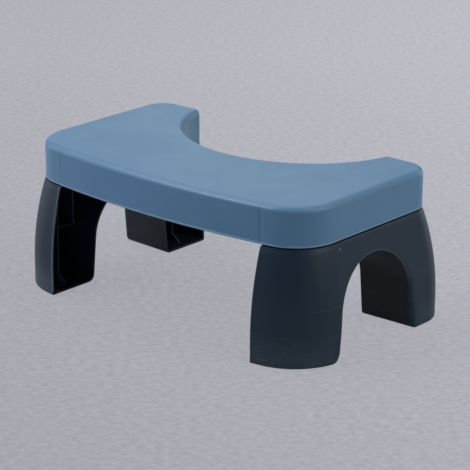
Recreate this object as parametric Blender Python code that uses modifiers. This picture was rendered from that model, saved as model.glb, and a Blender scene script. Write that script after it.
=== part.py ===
"""Toilet footstool: a horseshoe platform shell carried by two hollow arched legs that plug up into it.

Metres, +Z up. +X runs along the length, and the bowl recess opens towards +Y, where the toilet stands.
The origin is on the floor, at the middle of the footprint.
"""

import math

import bmesh
import bpy
from mathutils import Matrix

# Platform shell, the light upper moulding
platform_length = 0.400
platform_depth = 0.232
overall_height = 0.170
skirt_height = 0.0455
front_bow = 0.018
front_corner_radius = 0.050
rear_corner_radius = 0.028
bowl_mouth_width = 0.268
bowl_recess_depth = 0.108
bowl_centre_setback = 0.0144
horn_tip_radius = 0.009
top_edge_radius = 0.007
platform_wall = 0.0028

# Ribs under the platform
rib_thickness = 0.0018
rib_pitch = 0.036
rib_height = 0.020
socket_wall_thickness = 0.0020
socket_wall_lift = 0.003

# Leg shells, the dark lower mouldings
leg_width_at_top = 0.0533
leg_wall = 0.0025
foot_flare = 0.0155
flare_start_height = 0.020
foot_edge_radius = 0.0020
arch_radius = 0.0565
arch_crown_drop = 0.0243
arch_splay_degrees = 5.5
arch_centre_y = 0.0056
rear_corner_growth_share = 0.65
lip_radius_at_crown = 0.005
lip_radius_at_foot = 0.0065
front_foot_corner_radius = 0.009
rear_foot_corner_radius = 0.006
foot_corner_growth = 0.004

# Ribs inside the legs
leg_rib_thickness = 0.0020
leg_rib_setback = 0.021
gusset_width = 0.013
gusset_height = 0.010
front_foot_rib_inset = 0.0265
rear_foot_rib_inset = 0.018
shelf_rise = 0.0196
upper_rib_from_arch_centre = 0.070
crown_rib_spacing = 0.028

# Snap tongues on the legs and the windows that they click into
tongue_width = 0.018
tongue_thickness = 0.0020
tongue_length = 0.024
tongue_setback = 0.0003
tongue_from_arch_centre = 0.042
tooth_reach = 0.0032
tooth_height = 0.0050
tooth_land = 0.0012
tooth_rise = 0.0020

# Non-slip pads under the feet
pad_thickness = 0.0019
pad_standoff = 0.0008
pad_pocket_depth = 0.0014
pad_inset = 0.0050
pad_corner_radius = 0.003

# Clearances, overruns and facets
fit_gap = 0.0003
overrun = 0.010
lip_overrun = 0.003
bisection_steps = 50
corner_steps = 9
edge_steps = 3
front_steps = 14
bowl_steps = 26
arch_steps = 20
flare_steps = 9
lip_steps = 3
lip_sweep = math.radians(75)

# Colours read from the photograph
platform_blue = (0.17, 0.29, 0.42, 1.0)
leg_slate = (0.018, 0.026, 0.034, 1.0)
pad_black = (0.02, 0.02, 0.022, 1.0)

# Places that follow from the sizes above
half_length = platform_length / 2
front_edge_y = -platform_depth / 2
rear_edge_y = platform_depth / 2
bow_radius = (half_length**2 + front_bow**2) / (2 * front_bow)
bow_centre_y = front_edge_y + bow_radius
corner_centre_x = half_length - front_corner_radius
corner_centre_y = bow_centre_y - math.sqrt((bow_radius - front_corner_radius) ** 2 - corner_centre_x**2)
corner_start = math.asin(corner_centre_x / (bow_radius - front_corner_radius))
bowl_centre_y = rear_edge_y + bowl_centre_setback
bowl_semi_depth = bowl_recess_depth + bowl_centre_setback
bowl_semi_width = bowl_mouth_width / 2 / math.sqrt(1 - (bowl_centre_setback / bowl_semi_depth) ** 2)
skirt_bottom = overall_height - skirt_height
plate_underside = overall_height - platform_wall
leg_inner_x = half_length - leg_width_at_top
foot_bottom = pad_standoff
shoulder_height = skirt_bottom - fit_gap
deck_top = plate_underside - fit_gap
spigot_offset = -(platform_wall + fit_gap)
spigot_edge_radius = top_edge_radius - platform_wall - fit_gap
floor_top = foot_bottom + leg_wall
flare_rise = shoulder_height - flare_start_height
flare_radius = (flare_rise**2 + foot_flare**2) / (2 * foot_flare)
arch_splay = math.radians(arch_splay_degrees)
arch_spring_height = shoulder_height - arch_crown_drop - arch_radius
shelf_height = arch_spring_height + shelf_rise
front_foot_rib_y = front_edge_y + front_foot_rib_inset
rear_foot_rib_y = rear_edge_y - rear_foot_rib_inset
leg_rib_face_x = leg_inner_x + leg_rib_setback
past_leg_x = half_length + foot_flare + overrun


def footprint_shift():
    """How far the plan moves along Y, so that the middle of the footprint lies on the origin."""
    reach = bow_radius + foot_flare
    front = bow_centre_y - math.sqrt(reach**2 - leg_inner_x**2)
    rear = rear_edge_y + foot_flare
    return -(front + rear) / 2


plan_shift = footprint_shift()


def arc(centre_x, centre_y, radius, start, end, steps):
    """Points on an arc, from the start angle to the end angle, both ends included."""
    turns = [start + (end - start) * step / steps for step in range(steps + 1)]
    return [(centre_x + radius * math.cos(a), centre_y + radius * math.sin(a)) for a in turns]


def bowl_point(angle, offset):
    """A point of the bowl recess, an ellipse, moved by the offset towards its middle."""
    x = bowl_semi_width * math.cos(angle)
    y = bowl_semi_depth * math.sin(angle)
    normal_x = math.cos(angle) / bowl_semi_width
    normal_y = math.sin(angle) / bowl_semi_depth
    size = math.hypot(normal_x, normal_y)
    return x - offset * normal_x / size, bowl_centre_y + y - offset * normal_y / size


def horn_tip():
    """The ellipse angle and the centre of the fillet between the rear edge and the bowl recess."""
    low = -math.pi / 2
    high = 0
    for _ in range(bisection_steps):
        middle = (low + high) / 2
        if bowl_point(middle, -horn_tip_radius)[1] < rear_edge_y - horn_tip_radius:
            low = middle
        else:
            high = middle
    return middle, bowl_point(middle, -horn_tip_radius)


def side_outline(offset, start_x, end_x):
    """The right side of the plan from start_x on the front bow, round the end, to end_x on the rear edge."""
    reach = bow_radius + offset
    first = math.asin(start_x / reach)
    steps = max(2, round(front_steps * (1 - start_x / corner_centre_x)))
    points = arc(0, bow_centre_y, reach, first - math.pi / 2, corner_start - math.pi / 2, steps)
    turn = corner_start - math.pi / 2
    points += arc(corner_centre_x, corner_centre_y, front_corner_radius + offset, turn, 0, corner_steps)[1:]
    radius = rear_corner_radius + min(0, offset) + max(0, offset) * rear_corner_growth_share
    rear_x = half_length + offset - radius
    rear_y = rear_edge_y + offset - radius
    points += arc(rear_x, rear_y, radius, 0, math.pi / 2, corner_steps)
    return points + [(end_x, rear_edge_y + offset)]


def platform_outline(offset):
    """The whole horseshoe, anticlockwise, moved outwards by the offset."""
    tip_angle, tip_centre = horn_tip()
    touch_x, touch_y = bowl_point(tip_angle, 0)
    lean = math.atan2(tip_centre[1] - touch_y, tip_centre[0] - touch_x)
    right = side_outline(offset, 0, tip_centre[0])
    right += arc(*tip_centre, horn_tip_radius + offset, math.pi / 2, lean + math.pi, corner_steps)[1:]
    for step in range(1, bowl_steps + 1):
        angle = tip_angle + (-math.pi / 2 - tip_angle) * step / bowl_steps
        right.append(bowl_point(angle, offset))
    left = [(-x, y) for x, y in reversed(right[1:-1])]
    return right + left


def flare(height):
    """How far the leg stands out past the platform's side at a height: one arc, and a rounded foot edge."""
    rise = max(0, height - flare_start_height)
    out = foot_flare - flare_radius + math.sqrt(flare_radius**2 - rise**2)
    short = max(0, foot_bottom + foot_edge_radius - height)
    return out - foot_edge_radius + math.sqrt(max(0, foot_edge_radius**2 - short**2))


def leg_face_x(y, height):
    """X of the leg's outer face at a place beside the arch."""
    out = flare(max(height, foot_bottom + foot_edge_radius))
    back = min(0, y - corner_centre_y)
    reach = front_corner_radius + out
    return corner_centre_x + math.sqrt(reach**2 - back**2)


def new_object(name, mesh, collection):
    """An object for the mesh, in the collection. Everything is laid out about the footprint's middle."""
    mesh.transform(Matrix.Translation((0, plan_shift, 0)))
    made = bpy.data.objects.new(name, mesh)
    collection.objects.link(made)
    return made


def mesh_from(name, bm):
    """A mesh of the edited geometry, with its faces pointing outwards."""
    bmesh.ops.recalc_face_normals(bm, faces=bm.faces)
    if bm.calc_volume(signed=True) < 0:
        bmesh.ops.reverse_faces(bm, faces=bm.faces)
    mesh = bpy.data.meshes.new(name)
    bm.to_mesh(mesh)
    bm.free()
    return mesh


def loft(name, rings, collection):
    """A closed solid through rings of equally many points, with a flat cap on the first and last."""
    bm = bmesh.new()
    rows = [[bm.verts.new(point) for point in ring] for ring in rings]
    for low, high in zip(rows, rows[1:]):
        for i in range(len(low)):
            j = (i + 1) % len(low)
            bm.faces.new((low[i], low[j], high[j], high[i]))
    bm.faces.new(rows[0])
    bm.faces.new(rows[-1])
    return new_object(name, mesh_from(name, bm), collection)


def half_loft(name, rings, collection):
    """A closed solid through open rings whose ends all lie in one upright plane, with one face there."""
    bm = bmesh.new()
    rows = [[bm.verts.new(point) for point in ring] for ring in rings]
    for low, high in zip(rows, rows[1:]):
        for i in range(len(low) - 1):
            bm.faces.new((low[i], low[i + 1], high[i + 1], high[i]))
    bm.faces.new(rows[0])
    bm.faces.new(rows[-1])
    bm.faces.new([row[0] for row in rows] + [row[-1] for row in reversed(rows)])
    return new_object(name, mesh_from(name, bm), collection)


def prism(name, outline, low, high, collection):
    """A flat outline raised from one height to another."""
    rings = [[(x, y, z) for x, y in outline] for z in (low, high)]
    return loft(name, rings, collection)


def side_plate(name, profile, low_y, high_y, collection):
    """A plate across the length: an outline of (x, z) points, carried from one y to another."""
    rings = [[(x, y, z) for x, z in profile] for y in (low_y, high_y)]
    return loft(name, rings, collection)


def box(name, low, high, collection):
    """A box between two corners."""
    bm = bmesh.new()
    middle = [(a + b) / 2 for a, b in zip(low, high)]
    sides = [b - a for a, b in zip(low, high)]
    place = Matrix.Translation(middle) @ Matrix.Diagonal((*sides, 1))
    bmesh.ops.create_cube(bm, size=1, matrix=place)
    return new_object(name, mesh_from(name, bm), collection)


def combine(target, tool, operation):
    """A live Boolean of the tool on the target. The tool stays as a wire helper."""
    step = target.modifiers.new(tool.name, "BOOLEAN")
    step.operation = operation
    step.object = tool
    tool.hide_render = True
    tool.display_type = "WIRE"


def frozen_mesh(made, name):
    """The object's mesh with its modifiers applied."""
    bpy.context.view_layer.update()
    graph = bpy.context.evaluated_depsgraph_get()
    mesh = bpy.data.meshes.new_from_object(made.evaluated_get(graph))
    mesh.name = name
    return mesh


def plastic(name, colour, roughness):
    """A plain plastic finish."""
    material = bpy.data.materials.new(name)
    material.use_nodes = True
    shader = material.node_tree.nodes["Principled BSDF"]
    shader.inputs["Base Color"].default_value = colour
    shader.inputs["Roughness"].default_value = roughness
    shader.inputs["Metallic"].default_value = 0
    return material


def finish(made, material):
    """The object's one material, and smooth shading that keeps real edges sharp."""
    made.data.materials.clear()
    made.data.materials.append(material)
    made.data.shade_smooth()
    made.data.set_sharp_from_angle(angle=math.radians(35))


def horseshoe(name, offset, low, edge_radius, closed, collection):
    """The platform's outline at an offset, drawn down from its top to a height, with a rounded top edge."""
    top_height = overall_height + offset
    bm = bmesh.new()
    top = bm.faces.new([bm.verts.new((x, y, top_height)) for x, y in platform_outline(offset)])
    drawn = bmesh.ops.extrude_face_region(bm, geom=[top], use_keep_orig=True)
    lower = [item for item in drawn["geom"] if isinstance(item, bmesh.types.BMVert)]
    bmesh.ops.translate(bm, verts=lower, vec=(0, 0, low - top_height))
    if not closed:
        bottom = [item for item in drawn["geom"] if isinstance(item, bmesh.types.BMFace)]
        bmesh.ops.delete(bm, geom=bottom, context="FACES_ONLY")
    bmesh.ops.recalc_face_normals(bm, faces=bm.faces)
    if top.normal.z < 0:
        bmesh.ops.reverse_faces(bm, faces=bm.faces)
    edges = list(top.edges)
    bmesh.ops.bevel(bm, geom=edges, offset=edge_radius, segments=edge_steps + 1, profile=0.5, affect="EDGES")
    mesh = bpy.data.meshes.new(name)
    bm.to_mesh(mesh)
    bm.free()
    return new_object(name, mesh, collection)


def platform_core(name, low, cutters):
    """A solid that fills the platform to halfway through its wall, from a height up, to trim ribs with."""
    depth = platform_wall / 2
    return horseshoe(name, -depth, low, top_edge_radius - depth, True, cutters)


def rib_lattice(cutters):
    """The grid of ribs under the platform: a slab that fits the skirt, less the cells between the ribs."""
    low = plate_underside - rib_height
    slab = platform_core("rib_slab", low, cutters)
    reach = leg_inner_x - fit_gap - socket_wall_thickness / 2
    far_corner = (reach, platform_depth, 2 * overall_height)
    between = box("rib_reach", (-reach, -platform_depth, 0), far_corner, cutters)
    combine(slab, between, "INTERSECT")
    across = math.floor((reach - rib_pitch / 2) / rib_pitch)
    x_lines = [step * rib_pitch for step in range(-across, across + 1)]
    first_y = arch_centre_y + rib_pitch / 2
    behind = math.floor((rear_edge_y - first_y) / rib_pitch)
    before = math.floor((first_y - front_edge_y - front_bow) / rib_pitch)
    y_lines = [first_y + step * rib_pitch for step in range(-before, behind + 1)]
    x_edges = [-platform_length, *x_lines, platform_length]
    y_edges = [-platform_depth, *y_lines, platform_depth]
    bm = bmesh.new()
    half = rib_thickness / 2
    for x_low, x_high in zip(x_edges, x_edges[1:]):
        for y_low, y_high in zip(y_edges, y_edges[1:]):
            middle = ((x_low + x_high) / 2, (y_low + y_high) / 2, low)
            sides = (x_high - x_low - 2 * half, y_high - y_low - 2 * half, 2 * overall_height)
            place = Matrix.Translation(middle) @ Matrix.Diagonal((*sides, 1))
            bmesh.ops.create_cube(bm, size=1, matrix=place)
    combine(slab, new_object("rib_cells", mesh_from("rib_cells", bm), cutters), "DIFFERENCE")
    return slab


def socket_wall(side, cutters):
    """The wall across the underside that closes the inner side of a leg's socket."""
    near = side * (leg_inner_x - fit_gap)
    far = side * (leg_inner_x - fit_gap - socket_wall_thickness)
    low = (min(near, far), -platform_depth, skirt_bottom + socket_wall_lift)
    high = (max(near, far), platform_depth, 2 * overall_height)
    wall = box(f"socket_wall_{side}", low, high, cutters)
    combine(wall, platform_core(f"socket_reach_{side}", 0, cutters), "INTERSECT")
    return wall


def tongue_places():
    """The y of each leg's two snap tongues."""
    return [arch_centre_y - tongue_from_arch_centre, arch_centre_y + tongue_from_arch_centre]


def tooth_bottom():
    """Height of the tooth's flat underside, which rests on the window's sill."""
    return deck_top - tongue_length + tooth_rise


def snap_window(side, place, y, cutters):
    """The hole in a socket wall that a tooth clicks into, wider than the tooth by the fit gap all round."""
    across = tongue_width / 2 + fit_gap
    inner = side * (leg_inner_x - socket_wall_thickness - overrun)
    outer = side * (leg_inner_x + overrun)
    low = (min(inner, outer), y - across, tooth_bottom() - fit_gap)
    high = (max(inner, outer), y + across, tooth_bottom() + tooth_height + fit_gap)
    return box(f"window_{side}_{place}", low, high, cutters)


def make_platform(parts, cutters, material):
    """The platform shell with its ribs, socket walls and snap windows, as one moulding."""
    made = horseshoe("platform", 0, skirt_bottom, top_edge_radius, False, parts)
    wall = made.modifiers.new("wall", "SOLIDIFY")
    wall.thickness = platform_wall
    wall.offset = -1
    wall.use_even_offset = True
    combine(made, rib_lattice(cutters), "UNION")
    for side in (-1, 1):
        combine(made, socket_wall(side, cutters), "UNION")
        for place, y in enumerate(tongue_places()):
            combine(made, snap_window(side, place, y, cutters), "DIFFERENCE")
    finish(made, material)
    return made


def leg_plan(offset, inner_x, height):
    """One level of a leg: its plan at the offset, with both ends on the plane of the inner face."""
    return [(x, y, height) for x, y in side_outline(offset, inner_x, inner_x)]


def leg_levels():
    """Heights of the flared part's rings, close together at the rounded foot edge."""
    turns = [math.pi / 2 * k / edge_steps for k in range(edge_steps)]
    edge = [foot_bottom + foot_edge_radius * (1 - math.cos(turn)) for turn in turns]
    rest = foot_bottom + foot_edge_radius
    return edge + [rest + (shoulder_height - rest) * k / flare_steps for k in range(flare_steps + 1)]


def leg_block(cutters):
    """The leg as if it were solid: the flared block, the shoulder, and the spigot inside the platform."""
    rings = [leg_plan(flare(z), leg_inner_x, z) for z in leg_levels()]
    rings.append(leg_plan(spigot_offset, leg_inner_x, shoulder_height))
    for k in range(edge_steps + 1):
        turn = math.pi / 2 * k / edge_steps
        offset = spigot_offset - spigot_edge_radius * (1 - math.cos(turn))
        z = deck_top - spigot_edge_radius * (1 - math.sin(turn))
        rings.append(leg_plan(offset, leg_inner_x, z))
    return half_loft("leg_block", rings, cutters)


def leg_hollow(cutters):
    """The space inside the leg, open through its inner face."""
    open_x = leg_inner_x - overrun
    under_shoulder = shoulder_height - leg_wall
    rise = under_shoulder - floor_top
    levels = [floor_top + rise * k / flare_steps for k in range(flare_steps + 1)]
    rings = [leg_plan(flare(max(z, foot_bottom + foot_edge_radius)) - leg_wall, open_x, z) for z in levels]
    inside_spigot = spigot_offset - leg_wall
    rings.append(leg_plan(inside_spigot, open_x, under_shoulder))
    rings.append(leg_plan(inside_spigot, open_x, deck_top - leg_wall))
    return half_loft("leg_hollow", rings, cutters)


def arch_points():
    """The arch's side view as (y, z, normal y, normal z, lip radius): splayed sides and a round crown."""
    points = []
    for step in range(arch_steps + 1):
        turn = math.pi - arch_splay - (math.pi - 2 * arch_splay) * step / arch_steps
        y = arch_centre_y + arch_radius * math.cos(turn)
        z = arch_spring_height + arch_radius * math.sin(turn)
        lip = lip_radius_at_foot + (lip_radius_at_crown - lip_radius_at_foot) * math.sin(turn)
        points.append((y, z, math.cos(turn), math.sin(turn), lip))
    for end in (0, -1):
        y, z, normal_y, normal_z, _ = points[end]
        drop = z + overrun
        run = drop * math.tan(arch_splay)
        spread = math.copysign(run, normal_y)
        foot = (y + spread, z - drop, normal_y, normal_z, lip_radius_at_foot)
        points.insert(0 if end == 0 else len(points), foot)
    return points


def arch_ring(wall, turn, runs_out=False):
    """A ring of the arch tube, at a turn round its lip: 0 at the arch wall, a quarter turn at the leg.

    A wall above zero gives the tube's far side. A ring that runs out leaves the leg's face on the tangent.
    """
    ring = []
    for y, z, normal_y, normal_z, lip in arch_points():
        radius = lip - wall
        out = lip - radius * math.cos(turn)
        depth = lip - radius * math.sin(turn)
        if runs_out:
            out += (depth - wall + lip_overrun) * math.tan(turn)
            depth = wall - lip_overrun
        place_y = y + normal_y * out
        place_z = z + normal_z * out
        ring.append((leg_face_x(place_y, place_z) - depth, place_y, place_z))
    return ring


def arch_tube(name, wall, cutters):
    """The arch through the leg, with its rounded outer lip."""
    start = [(leg_inner_x - 2 * overrun, y, z) for _, y, z in arch_ring(wall, 0)]
    turns = [lip_sweep * k / lip_steps for k in range(lip_steps + 1)]
    run_out = arch_ring(wall, lip_sweep, runs_out=True)
    end = [(past_leg_x, y, z) for _, y, z in run_out]
    return loft(name, [start, *(arch_ring(wall, turn) for turn in turns), run_out, end], cutters)


def arch_side_y(side, height):
    """Y of the arch's splayed side at a height, in front for side -1 and behind for side 1."""
    top = arch_spring_height + arch_radius * math.sin(arch_splay)
    half = arch_radius * math.cos(arch_splay) + (top - height) * math.tan(arch_splay)
    return arch_centre_y + side * half


def corner_ring(side, x, radius, wall):
    """One end of a foot corner: what lies outside an arc that touches the foot's bottom and the arch."""
    lean = (1 - math.sin(arch_splay)) / math.cos(arch_splay)
    centre_y = arch_side_y(side, foot_bottom) + side * radius * lean
    centre_z = foot_bottom + radius
    reach = radius - wall
    sweep = math.pi / 2 - arch_splay
    turns = [arch_splay + sweep * k / edge_steps for k in range(edge_steps + 1)]
    arc_side = [(centre_y - side * reach * math.cos(a), centre_z - reach * math.sin(a)) for a in turns]
    outside_y = arch_side_y(side, foot_bottom) - side * overrun
    low = foot_bottom - overrun
    ring = [(outside_y, arc_side[0][1]), *arc_side, (centre_y, low), (outside_y, low)]
    return [(x, y, z) for y, z in ring]


def foot_corner(name, side, wall, cutters):
    """Rounds a foot's bottom corner at the arch, more at its outer end. A wall gives its inner side."""
    radius = front_foot_corner_radius if side < 0 else rear_foot_corner_radius
    ends = ((leg_inner_x - 2 * overrun, radius), (past_leg_x, radius + foot_corner_growth))
    return loft(name, [corner_ring(side, x, size, wall) for x, size in ends], cutters)


def foot_rib(name, y, cutters):
    """The upright rib in the middle of a foot, with its gusset on the foot's floor."""
    profile = [
        (leg_rib_face_x, overall_height),
        (leg_rib_face_x, floor_top + gusset_height),
        (leg_rib_face_x - gusset_width, floor_top),
        (leg_rib_face_x - gusset_width, foot_bottom),
        (past_leg_x, foot_bottom),
        (past_leg_x, overall_height),
    ]
    half = leg_rib_thickness / 2
    return side_plate(name, profile, y - half, y + half, cutters)


def upper_rib(name, y, low, cutters):
    """An upright rib from a shelf or the arch's crown up to the deck."""
    half = leg_rib_thickness / 2
    return box(name, (leg_rib_face_x, y - half, low), (past_leg_x, y + half, overall_height), cutters)


def outline_x(outline, y):
    """X where an outline of (x, y) points crosses a given y."""
    for (x_from, y_from), (x_to, y_to) in zip(outline, outline[1:]):
        if y_from <= y < y_to:
            return x_from + (x_to - x_from) * (y - y_from) / (y_to - y_from)
    return outline[-1][0]


def pad_plan(side, grow):
    """A pad's outline under the front foot (side -1) or the rear foot (side 1), grown by an amount."""
    inner_x = leg_inner_x + pad_inset - grow
    arch_end = arch_side_y(side, foot_bottom) + side * (pad_inset - grow)
    radius = front_foot_corner_radius if side < 0 else rear_foot_corner_radius
    arch_end += side * radius
    outline = side_outline(foot_flare - pad_inset + grow, inner_x, inner_x)
    kept = [(x, y) for x, y in outline if (y - arch_end) * side > 0]
    corners = [(outline_x(outline, arch_end), arch_end), (inner_x, arch_end)]
    return kept + corners if side < 0 else corners[::-1] + kept


def make_leg(cutters):
    """The right leg: its block, hollowed out round the arch and the ribs, with the snap tongues added."""
    leg = leg_block(cutters)
    hollow = leg_hollow(cutters)
    kept = [
        arch_tube("arch_wall", leg_wall, cutters),
        foot_rib("front_foot_rib", front_foot_rib_y, cutters),
        foot_rib("rear_foot_rib", rear_foot_rib_y, cutters),
    ]
    for side, rib_y in ((-1, front_foot_rib_y), (1, rear_foot_rib_y)):
        shelf_low = (leg_rib_face_x, min(rib_y, arch_centre_y), shelf_height)
        shelf_high = (past_leg_x, max(rib_y, arch_centre_y), shelf_height + leg_rib_thickness)
        kept.append(box(f"shelf_{side}", shelf_low, shelf_high, cutters))
        rib_place = arch_centre_y + side * upper_rib_from_arch_centre
        kept.append(upper_rib(f"upper_rib_{side}", rib_place, shelf_height + leg_rib_thickness / 2, cutters))
        plateau = floor_top + pad_pocket_depth
        plan = pad_plan(side, pad_inset - leg_wall / 2)
        kept.append(prism(f"pad_plateau_{side}", plan, 0, plateau, cutters))
        kept.append(foot_corner(f"foot_corner_wall_{side}", side, leg_wall, cutters))
    for step in (-1, 0, 1):
        rib_place = arch_centre_y + step * crown_rib_spacing
        kept.append(upper_rib(f"crown_rib_{step}", rib_place, arch_spring_height + arch_radius / 2, cutters))
    for tool in kept:
        combine(hollow, tool, "DIFFERENCE")
    combine(leg, hollow, "DIFFERENCE")
    combine(leg, arch_tube("arch_opening", 0, cutters), "DIFFERENCE")
    for side in (-1, 1):
        combine(leg, foot_corner(f"foot_corner_{side}", side, 0, cutters), "DIFFERENCE")
        pocket_top = foot_bottom + pad_pocket_depth
        pocket = prism(f"pad_pocket_{side}", pad_plan(side, fit_gap), -overrun, pocket_top, cutters)
        combine(leg, pocket, "DIFFERENCE")
    for place, y in enumerate(tongue_places()):
        combine(leg, snap_tongue(place, y, cutters), "UNION")
    return leg


def snap_tongue(place, y, cutters):
    """A springy tongue that hangs from the deck, with a tooth: ramped above, flat below."""
    face = leg_inner_x + tongue_setback
    back = face + tongue_thickness
    top = deck_top - leg_wall / 2
    bottom = deck_top - tongue_length
    low = tooth_bottom()
    profile = [
        (face, top),
        (face, low + tooth_height),
        (leg_inner_x - tooth_reach, low + tooth_land),
        (leg_inner_x - tooth_reach, low),
        (face, low),
        (face, bottom),
        (back, bottom),
        (back, top),
    ]
    return side_plate(f"tongue_{place}", profile, y - tongue_width / 2, y + tongue_width / 2, cutters)


def make_pad(name, side, mirrored, parts, material):
    """A non-slip pad, seated in its pocket under a foot, with rounded corners in plan."""
    pad = prism(name, pad_plan(side, 0), 0, pad_thickness, parts)
    if mirrored:
        mirror(pad.data)
    edges = pad.modifiers.new("round_corners", "BEVEL")
    edges.width = pad_corner_radius
    edges.segments = edge_steps
    edges.limit_method = "WEIGHT"
    weights = pad.data.attributes.new("bevel_weight_edge", "FLOAT", "EDGE")
    bm = bmesh.new()
    bm.from_mesh(pad.data)
    layer = bm.edges.layers.float["bevel_weight_edge"]
    for edge in bm.edges:
        upright = abs(edge.verts[0].co.z - edge.verts[1].co.z) > pad_thickness / 2
        edge[layer] = 1 if upright and edge.calc_face_angle(0) > math.radians(35) else 0
    bm.to_mesh(pad.data)
    bm.free()
    finish(pad, material)
    return pad


def mirror(mesh):
    """Turns a right-hand mesh into a left-hand one."""
    mesh.transform(Matrix.Scale(-1, 4, (1, 0, 0)))
    mesh.flip_normals()


def main():
    for old in list(bpy.data.objects):
        bpy.data.objects.remove(old)
    parts = bpy.data.collections.new("toilet_footstool")
    cutters = bpy.data.collections.new("cutters")
    bpy.context.scene.collection.children.link(parts)
    bpy.context.scene.collection.children.link(cutters)
    blue = plastic("platform_plastic", platform_blue, 0.45)
    slate = plastic("leg_plastic", leg_slate, 0.5)
    rubber = plastic("pad_rubber", pad_black, 0.8)

    make_platform(parts, cutters, blue)

    block = make_leg(cutters)
    right_mesh = frozen_mesh(block, "right_leg")
    bpy.data.objects.remove(block)
    left_mesh = right_mesh.copy()
    left_mesh.name = "left_leg"
    mirror(left_mesh)
    for mesh in (right_mesh, left_mesh):
        leg = bpy.data.objects.new(mesh.name, mesh)
        parts.objects.link(leg)
        finish(leg, slate)

    for side, place in ((-1, "front"), (1, "rear")):
        for mirrored, hand in ((False, "right"), (True, "left")):
            make_pad(f"{place}_{hand}_foot_pad", side, mirrored, parts, rubber)


main()
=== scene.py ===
"""Toilet footstool: a blue horseshoe platform shell on two dark arched legs, in a plain studio.

Metres, +Z up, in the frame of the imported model. The sections follow the stool as it is put together.
"""

import math

import bmesh
import bpy
import numpy as np
from mathutils import Matrix, Vector


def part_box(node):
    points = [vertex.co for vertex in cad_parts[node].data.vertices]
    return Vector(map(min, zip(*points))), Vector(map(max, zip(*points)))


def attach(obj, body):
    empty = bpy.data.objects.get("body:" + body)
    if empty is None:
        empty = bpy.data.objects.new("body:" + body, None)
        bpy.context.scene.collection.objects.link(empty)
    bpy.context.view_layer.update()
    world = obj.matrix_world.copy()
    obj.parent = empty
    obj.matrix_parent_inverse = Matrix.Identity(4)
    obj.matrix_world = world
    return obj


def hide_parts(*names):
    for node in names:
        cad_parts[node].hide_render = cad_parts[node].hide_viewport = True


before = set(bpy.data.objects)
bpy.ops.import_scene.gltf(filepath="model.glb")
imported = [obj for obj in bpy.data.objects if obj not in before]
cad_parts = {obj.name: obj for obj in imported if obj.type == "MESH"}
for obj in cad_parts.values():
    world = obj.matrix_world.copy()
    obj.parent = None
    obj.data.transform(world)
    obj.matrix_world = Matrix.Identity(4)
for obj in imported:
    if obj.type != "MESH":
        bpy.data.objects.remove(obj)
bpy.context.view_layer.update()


# Platform shell: the top and its skirt, one injection moulding in blue polypropylene with a fine satin
# grain. Its wall is the same all over, and it drops over the legs' rims from above.
platform_low, platform_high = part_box("platform")
half_length = platform_high.x
front_y = platform_low.y
rear_y = platform_high.y
top_z = platform_high.z
skirt_rim_lift = 0.0026
skirt_z = platform_low.z + skirt_rim_lift
front_bow = 0.0194
front_corner_radius = 0.0516
rear_corner_radius = 0.028
bowl_mouth_width = 0.2718
bowl_recess_depth = 0.1092
bowl_centre_setback = 0.0144
horn_tip_radius = 0.009
top_edge_radius = 0.007
platform_wall = 0.0028
skirt_rim_radius = 0.0009
skirt_bead_reach = 0.00035
skirt_bead_height = 0.0018
flat_margin = 0.0012
sharp_degrees = 40

bow_points = 60
front_corner_points = 40
rear_corner_points = 28
horn_tip_points = 26
bowl_points = 100
bowl_trial_points = 20001
top_edge_points = 14
inner_edge_points = 10
rim_edge_points = 6

bow_radius = (half_length**2 + front_bow**2) / (2 * front_bow)
bow_centre_y = front_y + bow_radius
corner_x = half_length - front_corner_radius
corner_y = bow_centre_y - math.sqrt((bow_radius - front_corner_radius) ** 2 - corner_x**2)
corner_start = math.asin(corner_x / (bow_radius - front_corner_radius))
bowl_centre_y = rear_y + bowl_centre_setback
bowl_semi_depth = bowl_recess_depth + bowl_centre_setback
bowl_semi_width = bowl_mouth_width / 2 / math.sqrt(1 - (bowl_centre_setback / bowl_semi_depth) ** 2)


def as_points(*coordinates):
    """Points from their coordinates, each an array or one number for all of them."""
    return np.stack(np.broadcast_arrays(*coordinates), axis=-1)


def bowl_curve(angle):
    """Points (a cos, b sin) on the bowl ellipse, and unit normals that point into the bowl."""
    cos, sin = np.cos(angle), np.sin(angle)
    normals = as_points(-cos / bowl_semi_width, -sin / bowl_semi_depth)
    normals = normals / np.linalg.norm(normals, axis=-1, keepdims=True)
    return as_points(bowl_semi_width * cos, bowl_centre_y + bowl_semi_depth * sin), normals


def round_curve(centre, radius, start, end, count):
    """Points centre + radius (cos, sin) at even angles, and their outward normals."""
    angle = np.linspace(start, end, count)
    normals = as_points(np.cos(angle), np.sin(angle))
    return np.array(centre) + radius * normals, normals


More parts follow.
